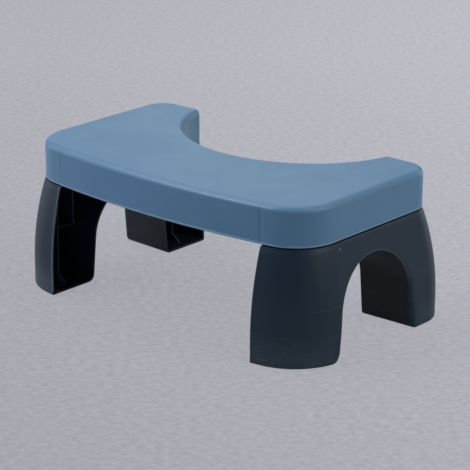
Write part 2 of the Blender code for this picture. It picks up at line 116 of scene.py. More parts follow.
def horseshoe_path():
    """The platform's plan, anticlockwise: bow, corner, side, corner, horn tip and bowl, then mirrored."""
    quarter = math.pi / 2
    trial = np.linspace(-quarter, 0, bowl_trial_points)
    points, normals = bowl_curve(trial)
    tip_height = (points - horn_tip_radius * normals)[:, 1]
    tip_angle = trial[np.searchsorted(tip_height, rear_y - horn_tip_radius)]
    touch, inward = bowl_curve(np.array([tip_angle]))
    tip_centre = (touch - horn_tip_radius * inward)[0]
    tip_end = math.pi + math.atan2(-inward[0, 1], -inward[0, 0])
    rear_centre = (half_length - rear_corner_radius, rear_y - rear_corner_radius)
    bow_end = corner_start - quarter
    runs = [
        round_curve((0, bow_centre_y), bow_radius, -quarter, bow_end, bow_points),
        round_curve((corner_x, corner_y), front_corner_radius, bow_end, 0, front_corner_points),
        round_curve(rear_centre, rear_corner_radius, 0, quarter, rear_corner_points),
        round_curve(tip_centre, horn_tip_radius, quarter, tip_end, horn_tip_points),
        bowl_curve(np.linspace(tip_angle, -quarter, bowl_points)),
    ]
    kept_ends = (-1, None, None, -1, None)
    halves = [np.concatenate([run[part][:end] for run, end in zip(runs, kept_ends)]) for part in (0, 1)]
    return [np.concatenate([half, half[-2:0:-1] * (-1, 1)]) for half in halves]


def quarter_round(centre_out, centre_z, radius, start, end, count):
    """A rounded edge in section, as (outward, up) pairs between two angles from the outward direction."""
    turn = np.radians(np.linspace(start, end, count))
    return as_points(centre_out + radius * np.cos(turn), centre_z + radius * np.sin(turn))


def shell_section():
    """The platform's section, from the flat top over the edge, down the skirt and back up inside.

    A low bead runs round the skirt's lower rim: it stands out through a slope as long as it is proud.
    """
    fillet_z = top_z - top_edge_radius
    rim_z = skirt_z + skirt_rim_radius
    inner_radius = top_edge_radius - platform_wall
    bead_out = skirt_bead_reach - skirt_rim_radius
    return np.concatenate([
        [(-top_edge_radius - flat_margin, top_z)],
        quarter_round(-top_edge_radius, fillet_z, top_edge_radius, 90, 0, top_edge_points),
        [(0, skirt_z + skirt_bead_height + skirt_bead_reach)],
        [(skirt_bead_reach, skirt_z + skirt_bead_height)],
        quarter_round(bead_out, rim_z, skirt_rim_radius, 0, -90, rim_edge_points),
        quarter_round(skirt_rim_radius - platform_wall, rim_z, skirt_rim_radius, -90, -180, rim_edge_points),
        quarter_round(-top_edge_radius, fillet_z, inner_radius, 0, 90, inner_edge_points),
        [(-top_edge_radius - flat_margin, top_z - platform_wall)],
    ])


def grid_quads(rows, columns, closed, start=0):
    """Quads between neighbouring rows and columns of a grid of vertices, the last row back to the first."""
    index = start + np.arange(rows * columns).reshape(rows, columns)
    if closed:
        index = np.concatenate([index, index[:1]])
    quads = np.stack([index[:-1, :-1], index[1:, :-1], index[1:, 1:], index[:-1, 1:]], axis=-1)
    return quads.reshape(-1, 4).tolist()


def ringed_shape(*grids):
    """Points and faces of grids whose rows close into a ring: their quads, and a face over each end."""
    faces = []
    start = 0
    for grid in grids:
        rows, columns = grid.shape[:2]
        first = start + np.arange(rows) * columns
        faces += grid_quads(rows, columns, closed=True, start=start)
        faces += [first.tolist(), (first[::-1] + columns - 1).tolist()]
        start += rows * columns
    return np.concatenate([grid.reshape(-1, 3) for grid in grids]), faces


def add_piece(name, shape, material, node):
    """A surface, its points and faces, as one shaded object that rides on the frame for a CAD node."""
    points, faces = shape
    mesh = bpy.data.meshes.new(name)
    mesh.from_pydata(np.reshape(points, (-1, 3)).tolist(), [], faces)
    mesh.materials.append(material)
    mesh.shade_smooth()
    mesh.set_sharp_from_angle(angle=math.radians(sharp_degrees))
    piece = bpy.data.objects.new(name, mesh)
    bpy.context.scene.collection.objects.link(piece)
    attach(piece, "root")
    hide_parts(node)
    return piece


def wire(tree, kind, feeds, **settings):
    """A node with its settings, whose inputs take other nodes' outputs or plain values."""
    node = tree.nodes.new(kind)
    for label, value in settings.items():
        setattr(node, label, value)
    for label, value in feeds.items():
        if isinstance(value, bpy.types.NodeSocket):
            tree.links.new(value, node.inputs[label])
        else:
            node.inputs[label].default_value = value
    return node


def arithmetic(tree, operation, first, second=0.0):
    """The result of one Math node."""
    return wire(tree, "ShaderNodeMath", {0: first, 1: second}, operation=operation).outputs[0]


def subtract(tree, first, second):
    """The first value less the second."""
    return arithmetic(tree, "SUBTRACT", first, second)


def multiply(tree, product, *factors):
    """The product of two or more values."""
    for factor in factors:
        product = arithmetic(tree, "MULTIPLY", product, factor)
    return product


def add_up(tree, total, *parts):
    """A first value plus every part times its amount, from (part, amount) pairs."""
    for part, amount in parts:
        total = arithmetic(tree, "ADD", total, multiply(tree, part, amount))
    return total


def smooth_fall(tree, value, start, end, at_start=1.0, at_end=0.0):
    """A smooth step from 1 at start to 0 at end, or between two other values."""
    feeds = {"Value": value, "From Min": start, "From Max": end, "To Min": at_start, "To Max": at_end}
    return wire(tree, "ShaderNodeMapRange", feeds, interpolation_type="SMOOTHSTEP").outputs["Result"]


def smooth_rise(tree, value, start, end):
    """A smooth step from 0 at start to 1 at end."""
    return smooth_fall(tree, value, start, end, 0, 1)


def noise(tree, coordinates, size, detail, distortion=0.0):
    """Noise whose lumps are about one size across, from the coordinates divided by that size."""
    shrunk = wire(tree, "ShaderNodeVectorMath", {0: coordinates, 1: size}, operation="DIVIDE").outputs[0]
    feeds = {"Vector": shrunk, "Scale": 1.0, "Detail": detail, "Distortion": distortion}
    return wire(tree, "ShaderNodeTexNoise", feeds).outputs["Fac"]


def effect_group(name, inputs, outputs):
    """A new shader node group with named inputs and outputs: its tree, and its inputs as seen inside."""
    group = bpy.data.node_groups.new(name, "ShaderNodeTree")
    for label in inputs:
        kind = "NodeSocketVector" if label == "Coordinates" else "NodeSocketFloat"
        group.interface.new_socket(label, in_out="INPUT", socket_type=kind)
    for label in outputs:
        group.interface.new_socket(label, in_out="OUTPUT", socket_type="NodeSocketFloat")
    return group, group.nodes.new("NodeGroupInput").outputs


# Moulded grain: the fine spark-eroded texture of the mould, and slow drifts of tone where the plastic flowed.
drift_low = 0.3
drift_high = 0.7

tree, source = effect_group("moulded_grain", ("Coordinates", "Grain Size", "Drift Size"), ("Height", "Drift"))
grain = noise(tree, source["Coordinates"], source["Grain Size"], detail=3)
drift = noise(tree, source["Coordinates"], source["Drift Size"], detail=4, distortion=0.6)
wire(tree, "NodeGroupOutput", {"Height": grain, "Drift": smooth_rise(tree, drift, drift_low, drift_high)})

# Sink line: the faint dip in a wall where a web behind it meets it. It falls off smoothly from its middle,
# and the same profile places painted highlight and shade lines.
tree, source = effect_group("sink_line", ("Distance", "Width"), ("Dip",))
away = arithmetic(tree, "ABSOLUTE", source["Distance"])
dip = smooth_fall(tree, arithmetic(tree, "DIVIDE", away, source["Width"]), 0, 1)
wire(tree, "NodeGroupOutput", {"Dip": dip})

# Hairlines: short light scratches, the thin contours of one noise, broken up by another.
contour_level = 0.5
hairline_patch_share = 0.7
hairline_patch_shift = (1.7, 0.9, 2.3)
hairline_threshold = 0.85
hairline_cover_weight = 0.6
hairline_softness = 0.06

tree, source = effect_group("hairlines", ("Coordinates", "Size", "Thinness", "Cover"), ("Mask",))
contour = noise(tree, source["Coordinates"], source["Size"], detail=1, distortion=0.8)
off_middle = arithmetic(tree, "ABSOLUTE", subtract(tree, contour, contour_level))
line = smooth_fall(tree, arithmetic(tree, "DIVIDE", off_middle, source["Thinness"]), 0, 1)
moved = wire(tree, "ShaderNodeVectorMath", {0: source["Coordinates"], 1: hairline_patch_shift}).outputs[0]
patches = noise(tree, moved, multiply(tree, source["Size"], hairline_patch_share), detail=2)
threshold = subtract(tree, hairline_threshold, multiply(tree, source["Cover"], hairline_cover_weight))
over = smooth_rise(tree, subtract(tree, patches, threshold), 0, hairline_softness)
wire(tree, "NodeGroupOutput", {"Mask": multiply(tree, line, over)})

# Scuffs: a soft pale bloom where the plastic gets rubbed, in small specks that gather in patches.
speck_share = 0.5
scuff_threshold = 0.68
scuff_cover_weight = 0.3
scuff_softness = 0.12

tree, source = effect_group("scuffs", ("Coordinates", "Speck Size", "Patch Size", "Cover"), ("Mask",))
specks = noise(tree, source["Coordinates"], source["Speck Size"], detail=4)
gathered = noise(tree, source["Coordinates"], source["Patch Size"], detail=3)
blend = add_up(tree, multiply(tree, specks, speck_share), (gathered, 1 - speck_share))
threshold = subtract(tree, scuff_threshold, multiply(tree, source["Cover"], scuff_cover_weight))
rubbed = smooth_rise(tree, subtract(tree, blend, threshold), 0, scuff_softness)
wire(tree, "NodeGroupOutput", {"Mask": rubbed})


def placed(tree, effect, feeds):
    """What an effect group puts out, placed in a material with its own values."""
    outputs = wire(tree, "ShaderNodeGroup", feeds, node_tree=bpy.data.node_groups[effect]).outputs
    return outputs[0] if len(outputs) == 1 else outputs[:]


def line_at(tree, value, middle, width):
    """A soft line, strongest where a value equals the middle and gone a width away from it. It places sink
    dips, rubs, painted highlight lines and painted shade lines.
    """
    return placed(tree, "sink_line", {"Distance": subtract(tree, value, middle), "Width": width})


def lay_over(tree, colour, *layers):
    """A colour with others laid over it in turn, from (mask, greatest share, colour) layers."""
    under = (*colour, 1)
    for mask, share, top in layers:
        feeds = {0: multiply(tree, mask, share), 6: under, 7: (*top, 1)}
        under = wire(tree, "ShaderNodeMix", feeds, data_type="RGBA").outputs[2]
    return under


def plastic(name, shine):
    """A new plastic material: its node tree, its shader, and the piece's own coordinates and their parts."""
    material = bpy.data.materials.new(name)
    material.use_nodes = True
    tree = material.node_tree
    shader = tree.nodes["Principled BSDF"]
    shader.inputs["Specular IOR Level"].default_value = shine
    place = tree.nodes.new("ShaderNodeTexCoord").outputs["Object"]
    parts = wire(tree, "ShaderNodeSeparateXYZ", {"Vector": place})
    return material, tree, shader, place, parts.outputs


def finish_plastic(tree, shader, colour, roughness, height):
    """Colour, roughness and a bump whose height is in metres, linked to the shader."""
    tree.links.new(colour, shader.inputs["Base Color"])
    tree.links.new(roughness, shader.inputs["Roughness"])
    bump = wire(tree, "ShaderNodeBump", {"Strength": 1.0, "Distance": 1.0, "Height": height})
    tree.links.new(bump.outputs["Normal"], shader.inputs["Normal"])


# The platform's blue: read-through lines over the socket walls, each a painted shade line with a shallow bump
# dip and a painted highlight line beside it, a painted highlight line along the skirt's rim, a light rub
# along that rim and the top edge, and a few hairlines.
platform_blue = (0.088, 0.206, 0.348)
# Pale blue of the painted highlight by each read-through line, of the hairlines and of the rubbed edges.
platform_pale_wear_and_highlight = (0.185, 0.300, 0.420)
platform_deep = (0.079, 0.190, 0.322)
platform_shade = (0.062, 0.160, 0.280)
# Colour of the painted highlight line along the skirt's rim.
platform_rim_highlight = (0.260, 0.380, 0.480)
platform_shine = 0.4
platform_roughness = 0.35
grain_height = 0.00003
platform_grain = {"Grain Size": 0.0011, "Drift Size": 0.06}
platform_drift_share = 0.6
platform_drift_roughness = 0.04
read_through_inset = 0.053
read_through_width = 0.0022
read_through_step = 0.0018
read_through_depth = 0.00006
read_through_top_share = 0.35
read_through_dark_share = 0.9
read_through_highlight_share = 0.25
rim_highlight_height = 0.0009
rim_highlight_width = 0.0017
rim_highlight_share = 0.5
top_hairlines = {"Size": 0.045, "Thinness": 0.006, "Cover": 0.25}
top_hairline_share = 0.22
top_hairline_depth = 0.00001
edge_scuffs = {"Speck Size": 0.0018, "Patch Size": 0.02, "Cover": 0.45}
top_rub_drop = 0.0018
top_rub_width = 0.0030
rim_rub_height = 0.001
rim_rub_width = 0.0022
edge_rub_share = 0.55
edge_rub_roughness = 0.12

platform_material, tree, shader, place, axes = plastic("platform_satin", platform_shine)
grain, drift = placed(tree, "moulded_grain", {"Coordinates": place, **platform_grain})
on_top = smooth_fall(tree, axes["Z"], top_z - top_edge_radius, top_z, 1, read_through_top_share)
from_line = subtract(tree, arithmetic(tree, "ABSOLUTE", axes["X"]), half_length - read_through_inset)
# Read-through lines: painted shade with a shallow bump dip, and a painted highlight line just beside it.
dip = multiply(tree, line_at(tree, from_line, -read_through_step, read_through_width), on_top)
read_through_highlight_line = multiply(tree, line_at(tree, from_line, read_through_step, read_through_width), on_top)
# Painted highlight line all round the skirt's lower rim.
rim_highlight_line = line_at(tree, axes["Z"], skirt_z + rim_highlight_height, rim_highlight_width)
scratch = placed(tree, "hairlines", {"Coordinates": place, **top_hairlines})
top_rub = line_at(tree, axes["Z"], top_z - top_rub_drop, top_rub_width)
rim_rub = line_at(tree, axes["Z"], skirt_z + rim_rub_height, rim_rub_width)
rub = placed(tree, "scuffs", {"Coordinates": place, **edge_scuffs})
edge_rub = multiply(tree, arithmetic(tree, "MAXIMUM", top_rub, rim_rub), rub)
colour = lay_over(
    tree, platform_blue,
    (drift, platform_drift_share, platform_deep),
    (dip, read_through_dark_share, platform_shade),
    (read_through_highlight_line, read_through_highlight_share, platform_pale_wear_and_highlight),
    (rim_highlight_line, rim_highlight_share, platform_rim_highlight),
    (scratch, top_hairline_share, platform_pale_wear_and_highlight),
    (edge_rub, edge_rub_share, platform_pale_wear_and_highlight))
roughness = add_up(
    tree, platform_roughness, (drift, platform_drift_roughness), (edge_rub, edge_rub_roughness))
height = add_up(tree, 0.0, (grain, grain_height), (dip, -read_through_depth), (scratch, -top_hairline_depth))
finish_plastic(tree, shader, colour, roughness, height)

path, path_normals = horseshoe_path()
outward, up = shell_section().T
plan = path[:, None] + path_normals[:, None] * outward[:, None]
shape = ringed_shape(as_points(plan[..., 0], plan[..., 1], up))
add_piece("platform_shell", shape, platform_material, "platform")


# Ribs under the platform: a grid of thin webs moulded with the shell, which keeps the top from bending
# underfoot. Each web ends in the walls that it meets, and its free edge is rounded.
rib_thickness = 0.0018
rib_pitch = 0.036
rib_height = 0.020
rib_edge_radius = 0.0006
rib_edge_points = 4
root_depth = 0.0004
bowl_wall_points = 400
leg_width_at_top = 0.0533
fit_gap = 0.0003
socket_wall_thickness = 0.0020
arch_setback = 0.0051
seam_gap = 1e-6

arch_y = (front_y + rear_y) / 2 + arch_setback
leg_inner_x = half_length - leg_width_at_top
socket_face_x = leg_inner_x - fit_gap
rib_reach_x = socket_face_x - socket_wall_thickness + root_depth
plate_z = top_z - platform_wall
bowl_wall, bowl_inward = bowl_curve(np.linspace(-math.pi / 2, 0, bowl_wall_points))
bowl_wall = bowl_wall - bowl_inward * (platform_wall - root_depth)


def front_wall_y(x):
    """Where a web along the depth ends in the bowed front wall: y = centre - sqrt(radius^2 - x^2)."""
    return bow_centre_y - np.sqrt((bow_radius - platform_wall + root_depth) ** 2 - x**2)


def rib_section():
    """A rib in section, as (across, up) pairs: down one side, round the free edge, and up again."""
    half = rib_thickness / 2
    middle = half - rib_edge_radius
    middle_z = plate_z - rib_height + rib_edge_radius
    return np.concatenate([
        [(-half, plate_z + root_depth)],
        quarter_round(-middle, middle_z, rib_edge_radius, 180, 270, rib_edge_points),
        quarter_round(middle, middle_z, rib_edge_radius, 270, 360, rib_edge_points),
        [(half, plate_z + root_depth)],
    ])


def carried(*ends):
    """A section carried straight from one end to the other, each end given as its x, y and z."""
    return np.stack([as_points(*end) for end in ends], axis=1)


def depth_web(x):
    """A web along the depth: the rib's section at x, carried from the bowed front wall to the bowl wall."""
    place_x = x + rib_across
    bowl_y = np.interp(np.abs(place_x), bowl_wall[:, 0], bowl_wall[:, 1])
    return carried((place_x, front_wall_y(place_x), rib_up), (place_x, bowl_y, rib_up))


def length_webs(y):
    """Webs along the length: the rib's section at y, carried from side to side, or to the bowl's wall."""
    place_y = y + rib_across
    bowl_x = np.interp(place_y, bowl_wall[:, 1], bowl_wall[:, 0])
    spans = [(-rib_reach_x, rib_reach_x)]
    if y >= bowl_wall[0, 1]:
        spans = [(-rib_reach_x, -bowl_x), (bowl_x, rib_reach_x)]
    return [carried((start, place_y, rib_up), (end, place_y, rib_up)) for start, end in spans]


def close_seams(piece, mirrored=False):
    """Merges doubled points, mirrors the mesh if asked, and points its faces outwards."""
    bm = bmesh.new()
    bm.from_mesh(piece.data)
    bmesh.ops.remove_doubles(bm, verts=bm.verts, dist=seam_gap)
    bmesh.ops.dissolve_degenerate(bm, edges=bm.edges, dist=seam_gap)
    if mirrored:
        bmesh.ops.scale(bm, vec=(-1, 1, 1), verts=bm.verts)
    bmesh.ops.recalc_face_normals(bm, faces=bm.faces)
    if bm.calc_volume(signed=True) < 0:
        bmesh.ops.reverse_faces(bm, faces=bm.faces)
    bm.to_mesh(piece.data)
    bm.free()


rib_across, rib_up = rib_section().T
lines_each_side = math.floor((rib_reach_x - rib_pitch / 2) / rib_pitch)
webs = [depth_web(step * rib_pitch) for step in range(-lines_each_side, lines_each_side + 1)]
first_web_y = arch_y + rib_pitch / 2
steps_behind = math.floor((rear_y - first_web_y) / rib_pitch)
steps_before = math.floor((first_web_y - front_y - front_bow) / rib_pitch)
for step in range(-steps_before, steps_behind + 1):
    webs += length_webs(first_web_y + step * rib_pitch)
ribs = add_piece("platform_ribs", ringed_shape(*webs), platform_material, "platform")
close_seams(ribs)


# Socket walls: a web across the underside closes the inner side of each leg's socket. Its two windows take
# the teeth of the leg's snap tongues.
socket_wall_lift = 0.003
tongue_width = 0.018
tongue_length = 0.024
tongue_from_arch = 0.042
tooth_height = 0.0050
tooth_rise = 0.0020
window_edge_radius = 0.0004
sides = (("right", False), ("left", True))

deck_z = plate_z - fit_gap
tooth_z = deck_z - tongue_length + tooth_rise
wall_middle_x = socket_face_x - socket_wall_thickness / 2


def socket_wall(x):
    """The middle surface of a socket wall, split at the windows' edges, without the windows' cells."""
    half_window = tongue_width / 2 + fit_gap
    window_ends = [arch_y + hand * tongue_from_arch + end * half_window
                   for hand in (-1, 1) for end in (-1, 1)]
    y_lines = [front_wall_y(x), *window_ends, rear_y - platform_wall + root_depth]
    z_lines = [skirt_z + socket_wall_lift, tooth_z - fit_gap,
               tooth_z + tooth_height + fit_gap, plate_z + root_depth]
    y, z = np.meshgrid(y_lines, z_lines, indexing="ij")
    cells = np.array(grid_quads(len(y_lines), len(z_lines), closed=False))
    column, row = np.divmod(np.arange(len(cells)), len(z_lines) - 1)
    return as_points(x, y, z), cells[~((row == 1) & (column % 2 == 1))].tolist()


def round_edges(piece, width, segments=3, angle=55):
    """A small rounding on every edge sharper than the angle."""
    rounding = piece.modifiers.new("rounded_edges", "BEVEL")
    rounding.width = width
    rounding.segments = segments
    rounding.limit_method = "ANGLE"
    rounding.angle_limit = math.radians(angle)


for side, mirrored in sides:
    shape = socket_wall(-wall_middle_x if mirrored else wall_middle_x)
    wall = add_piece(f"{side}_socket_wall", shape, platform_material, "platform")
    thickness = wall.modifiers.new("thickness", "SOLIDIFY")
    thickness.thickness = socket_wall_thickness
    thickness.offset = 0
    round_edges(wall, window_edge_radius)


# Leg shells: two dark slate polypropylene mouldings, mirror images, each one wall thickness all over. A leg
# flares towards the floor round a wide arch, and its rim steps in and plugs up into the platform's skirt.
right_leg_low, right_leg_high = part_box("right_leg")
leg_wall = 0.0025
foot_z = right_leg_low.z
shoulder_z = skirt_z - fit_gap
foot_flare = right_leg_high.x - half_length
flare_start_height = 0.026
rear_corner_growth_share = 0.65
foot_edge_radius = 0.0026
shoulder_edge_radius = 0.0005
shadow_gap_depth = 0.0024
shadow_gap_height = 0.0014
shadow_gap_corner = 0.0002
arch_radius = 0.0558
arch_crown_drop = 0.0243
arch_splay = math.radians(5.5)
lip_radius_at_crown = 0.0028
lip_radius_at_foot = 0.0065
lip_blend_length = 0.016
front_foot_corner_radius = 0.0085
rear_foot_corner_radius = 0.0055
foot_corner_growth = 0.004
leg_rim_radius = 0.0005

foot_corner_points = 14
foot_side_points = 14
crown_points = 110
floor_columns = 48
spigot_edge_points = 7
spigot_points = 5
shadow_gap_corner_points = 4
shoulder_edge_points = 5
deck_points = 5
face_points = 40
lip_points = 11
arch_wall_points = 16

arch_spring_z = shoulder_z - arch_crown_drop - arch_radius
arch_tangent_z = arch_spring_z + arch_radius * math.sin(arch_splay)
arch_half_base = arch_radius * math.cos(arch_splay) + (arch_tangent_z - foot_z) * math.tan(arch_splay)
spigot_offset = -(platform_wall + fit_gap)
spigot_edge_radius = top_edge_radius - platform_wall - fit_gap
flare_rise = shoulder_z - flare_start_height
flare_radius = (flare_rise**2 + foot_flare**2) / (2 * foot_flare)

# Lengths along the leg's plan at no flare: bow, front corner, side, rear corner and rear edge.
bow_run = corner_x + front_corner_radius * math.sin(corner_start) - leg_inner_x
corner_run = front_corner_radius * (math.pi / 2 - corner_start)
side_run = rear_y - rear_corner_radius - corner_y
rear_corner_run = rear_corner_radius * math.pi / 2
rear_run = half_length - rear_corner_radius - leg_inner_x
run_ends = np.cumsum([0, bow_run, corner_run, side_run, rear_corner_run, rear_run])
whole_run = run_ends[-1]


def flare(z):
    """How far the leg stands out past the platform's side: one arc that is upright near the floor."""
    return foot_flare - flare_radius + np.sqrt(flare_radius**2 - np.maximum(0, z - flare_start_height) ** 2)


def rear_corner(out):
    """The rear corner's radius and its centre's y at a flare: it grows by a share of the flare."""
    radius = rear_corner_radius + out * np.where(out > 0, rear_corner_growth_share, 1)
    return radius, rear_y + out - radius


def leg_plan(run, out):
    """The leg's plan: x and y at a distance along it, moved out by a flare, both ends on its inner plane."""
    run, out = np.broadcast_arrays(run, out)
    share = [np.clip((run - start) / (end - start), 0, 1) for start, end in zip(run_ends, run_ends[1:])]
    tangent_x = corner_x + (front_corner_radius + out) * math.sin(corner_start)
    bow_x = leg_inner_x + (tangent_x - leg_inner_x) * share[0]
    turn = corner_start - math.pi / 2 + (math.pi / 2 - corner_start) * share[1]
    rear_radius, rear_centre_y = rear_corner(out)
    rear_x = half_length + out - rear_radius
    rear_turn = math.pi / 2 * share[3]
    part = np.searchsorted(run_ends[1:-1], run, side="right")
    x = np.choose(part, [
        bow_x,
        corner_x + (front_corner_radius + out) * np.cos(turn),
        half_length + out,
        rear_x + rear_radius * np.cos(rear_turn),
        rear_x + (leg_inner_x - rear_x) * share[4],
    ])
    y = np.choose(part, [
        bow_centre_y - np.sqrt((bow_radius + out) ** 2 - bow_x**2),
        corner_y + (front_corner_radius + out) * np.sin(turn),
        corner_y + (rear_centre_y - corner_y) * share[2],
        rear_centre_y + rear_radius * np.sin(rear_turn),
        rear_y + out,
    ])
    return x, y


def leg_run(y, out):
    """The distance along the leg's plan at which its side, or a corner beside it, passes a given y.

    On a corner it is the corner's radius times the turn, arcsin((y - centre) / radius).
    """
    turn = np.arcsin(np.clip((y - corner_y) / (front_corner_radius + out), -1, 0))
    rear_radius, rear_centre_y = rear_corner(out)
    rear_turn = np.arcsin(np.clip((y - rear_centre_y) / rear_radius, 0, 1))
    side = side_run * np.clip((y - corner_y) / (rear_centre_y - corner_y), 0, 1)
    return run_ends[2] + front_corner_radius * turn + side + rear_corner_radius * rear_turn


def arch_outline(front_radius, rear_radius):
    """The arch in side view, front foot to rear foot, as y, z and the unit normal into the plastic.

    Each foot's corner is an arc from the floor to the splayed side, and one round crown joins the sides.
    """
    cos, sin = math.cos(arch_splay), math.sin(arch_splay)
    parts = []
    for hand, radius in ((-1, front_radius), (1, rear_radius)):
        centre_y = arch_y + hand * (arch_half_base + radius * (1 - sin) / cos)
        turn = np.linspace(math.pi / 2, arch_splay, foot_corner_points)
        corner = [centre_y - hand * radius * np.cos(turn), foot_z + radius * (1 - np.sin(turn)),
                  hand * np.cos(turn), np.sin(turn)]
        share = np.linspace(0, 1, foot_side_points + 2)[1:-1]
        side = [corner[0][-1] + (arch_y + hand * arch_radius * cos - corner[0][-1]) * share,
                corner[1][-1] + (arch_tangent_z - corner[1][-1]) * share,
                np.full_like(share, hand * cos), np.full_like(share, sin)]
        parts.append(np.concatenate([corner, side], axis=1))
    turn = np.linspace(math.pi - arch_splay, arch_splay, crown_points)
    crown = np.stack([arch_y + arch_radius * np.cos(turn), arch_spring_z + arch_radius * np.sin(turn),
                      np.cos(turn), np.sin(turn)])
    return np.concatenate([parts[0], crown, parts[1][:, ::-1]], axis=1)


def with_floors(outline):
    """An arch outline with the columns of both feet's floors added, held at the ends of the arch."""
    return np.pad(outline, ((0, 0), (floor_columns, floor_columns)), mode="edge")


# The leg's columns run along its lower edge: the front foot's floor, the arch, and the rear foot's floor. One
# share rises from 0 to 1 over the front foot's floor, and the other over the rear foot's floor.
inner_outline = with_floors(arch_outline(front_foot_corner_radius, rear_foot_corner_radius))
outer_outline = with_floors(arch_outline(front_foot_corner_radius + foot_corner_growth,
                                         rear_foot_corner_radius + foot_corner_growth))
later_columns = outer_outline.shape[1] - floor_columns
front_share = np.concatenate([np.linspace(0, 1, floor_columns, endpoint=False), np.ones(later_columns)])
rear_share = 1 - front_share[::-1]
outline_steps = np.hypot(*np.diff(outer_outline[:2], axis=1))
from_floor = np.concatenate([[0], np.cumsum(outline_steps)])
from_floor = np.minimum(from_floor, from_floor[-1] - from_floor)
blend = np.clip(from_floor / lip_blend_length, 0, 1)
blend = blend * blend * (3 - 2 * blend)
above_spring = np.clip((outer_outline[1] - arch_spring_z) / arch_radius, 0, 1)
full_lip = lip_radius_at_foot + (lip_radius_at_crown - lip_radius_at_foot) * above_spring
lip_radius = foot_edge_radius + (full_lip - foot_edge_radius) * blend


def edge_row(turn, wall):
    """The leg's lower edge, as run, z and flare, at a turn round its lip from 90 degrees on the face to 0."""
    y, z, normal_y, normal_z = outer_outline
    inward = lip_radius - (lip_radius - wall) * math.cos(turn)
    place_z = z + normal_z * inward
    out = flare(place_z) - lip_radius + (lip_radius - wall) * math.sin(turn)
    run = leg_run(y + normal_y * inward, out)
    return run * front_share + (whole_run - run) * rear_share, place_z, out


lower_run, lower_z, _ = edge_row(math.pi / 2, 0)
along_edge = np.concatenate([[0], np.cumsum(np.hypot(np.diff(lower_run), np.diff(lower_z)))])
upper_run = whole_run * along_edge / along_edge[-1]


def leg_skin(wall):
    """One side of the leg's wall as a grid of points, from the deck's rim over the face to the arch's rim.

    Rows go over the deck, down the spigot and round the shoulder, down the face, round the lip, and in along
    the arch and the foot's floor. A wall above zero gives the hollow side. The outer side has a shallow
    groove under the skirt, a shadow gap, whose rows fall together on the hollow side.
    """
    deck = deck_z - wall
    edge_radius = max(leg_rim_radius, spigot_edge_radius - wall)
    inside = spigot_offset - wall
    under = shoulder_z - wall
    gap = 0 if wall else 1
    gap_out = -wall - shoulder_edge_radius - (shadow_gap_depth - shoulder_edge_radius) * gap
    corner = shadow_gap_corner * gap
    face_top = under - shadow_gap_height * gap - shoulder_edge_radius
    down_spigot = np.linspace(deck - edge_radius, under, spigot_points)[1:, None]
    upper = np.concatenate([
        quarter_round(inside - edge_radius, deck - edge_radius, edge_radius, 90, 0, spigot_edge_points),
        np.insert(down_spigot, 0, inside, axis=1),
        [((inside + gap_out) / 2, under)],
        quarter_round(gap_out - corner, under - corner, corner, 90, 0, shadow_gap_corner_points),
        quarter_round(gap_out + corner, face_top + shoulder_edge_radius + corner, corner,
                      180, 270, shadow_gap_corner_points),
        quarter_round(-wall - shoulder_edge_radius, face_top, shoulder_edge_radius,
                      90, 0, shoulder_edge_points),
    ])
    offsets, heights = upper.T[:, :, None]
    crown_rows = as_points(*leg_plan(upper_run, offsets), heights)

    share = np.linspace(0, 1, deck_points)[:-1, None, None]
    deck_end = crown_rows[0]
    rim_y = deck_end[0, 1] + (deck_end[-1, 1] - deck_end[0, 1]) * upper_run / whole_run
    rim = as_points(leg_inner_x, rim_y, deck)
    deck_rows = rim + (deck_end - rim) * share

    share = np.linspace(0, 1, face_points)[1:, None]
    edge_run, edge_z, _ = edge_row(math.pi / 2, wall)
    run = upper_run + (edge_run - upper_run) * share
    z = face_top + (edge_z - face_top) * share
    face_rows = as_points(*leg_plan(run, flare(z) - wall), z)

    lip_rows = []
    for turn in np.radians(np.linspace(90, 0, lip_points)[1:]):
        run, z, out = edge_row(turn, wall)
        lip_rows.append(as_points(*leg_plan(run, out), z))

    y, z, normal_y, normal_z = inner_outline
    lip_end = lip_rows[-1]
    y = y + normal_y * wall
    y = y * front_share + lip_end[0, 1] * (1 - front_share)
    y = y * (1 - rear_share) + lip_end[-1, 1] * rear_share
    rim = as_points(leg_inner_x, y, z + normal_z * wall)
    share = np.linspace(0, 1, arch_wall_points)[1:, None, None]
    wall_rows = lip_end + (rim - lip_end) * share
    return np.concatenate([deck_rows, crown_rows, face_rows, np.array(lip_rows), wall_rows])


def leg_shell_shape():
    """Both sides of the wall, and the flat rim between them along all four borders of the grids."""
    outer = leg_skin(0)
    inner = leg_skin(leg_wall)
    rows, columns = outer.shape[:2]
    count = rows * columns
    faces = [quad[::-1] for quad in grid_quads(rows, columns, closed=False)]
    faces += grid_quads(rows, columns, closed=False, start=count)
    index = np.arange(count).reshape(rows, columns)
    border = np.concatenate([index[0, :-1], index[:-1, -1], index[-1, :0:-1], index[:0:-1, 0]])
    after = np.roll(border, -1)
    faces += np.stack([border, after, after + count, border + count], axis=-1).tolist()
    return np.concatenate([outer.reshape(-1, 3), inner.reshape(-1, 3)]), faces


# The legs' dark slate: painted highlights with shallow bump dips on sink lines where a shelf and the foot
# ribs meet the wall, the small round marks of the moulding gate and of an ejector pin, a painted glint over
# the arch and along the front foot's open edge, painted shade over the hollow side, painted light from the
# floor low on the feet's outer faces, stronger on the left foot, and scuffs and scratches low on the feet.
leg_slate = (0.0040, 0.0190, 0.040)
# Pale slate for painted highlights, glints and floor light, and for real scuffs, scratches, hairlines and
# moulding marks.
leg_pale_wear_and_highlight = (0.055, 0.085, 0.115)
leg_slate_deep = (0.0030, 0.0150, 0.032)
# Colour of the painted highlight along the front foot's open edge.
leg_edge_highlight = (0.16, 0.19, 0.23)
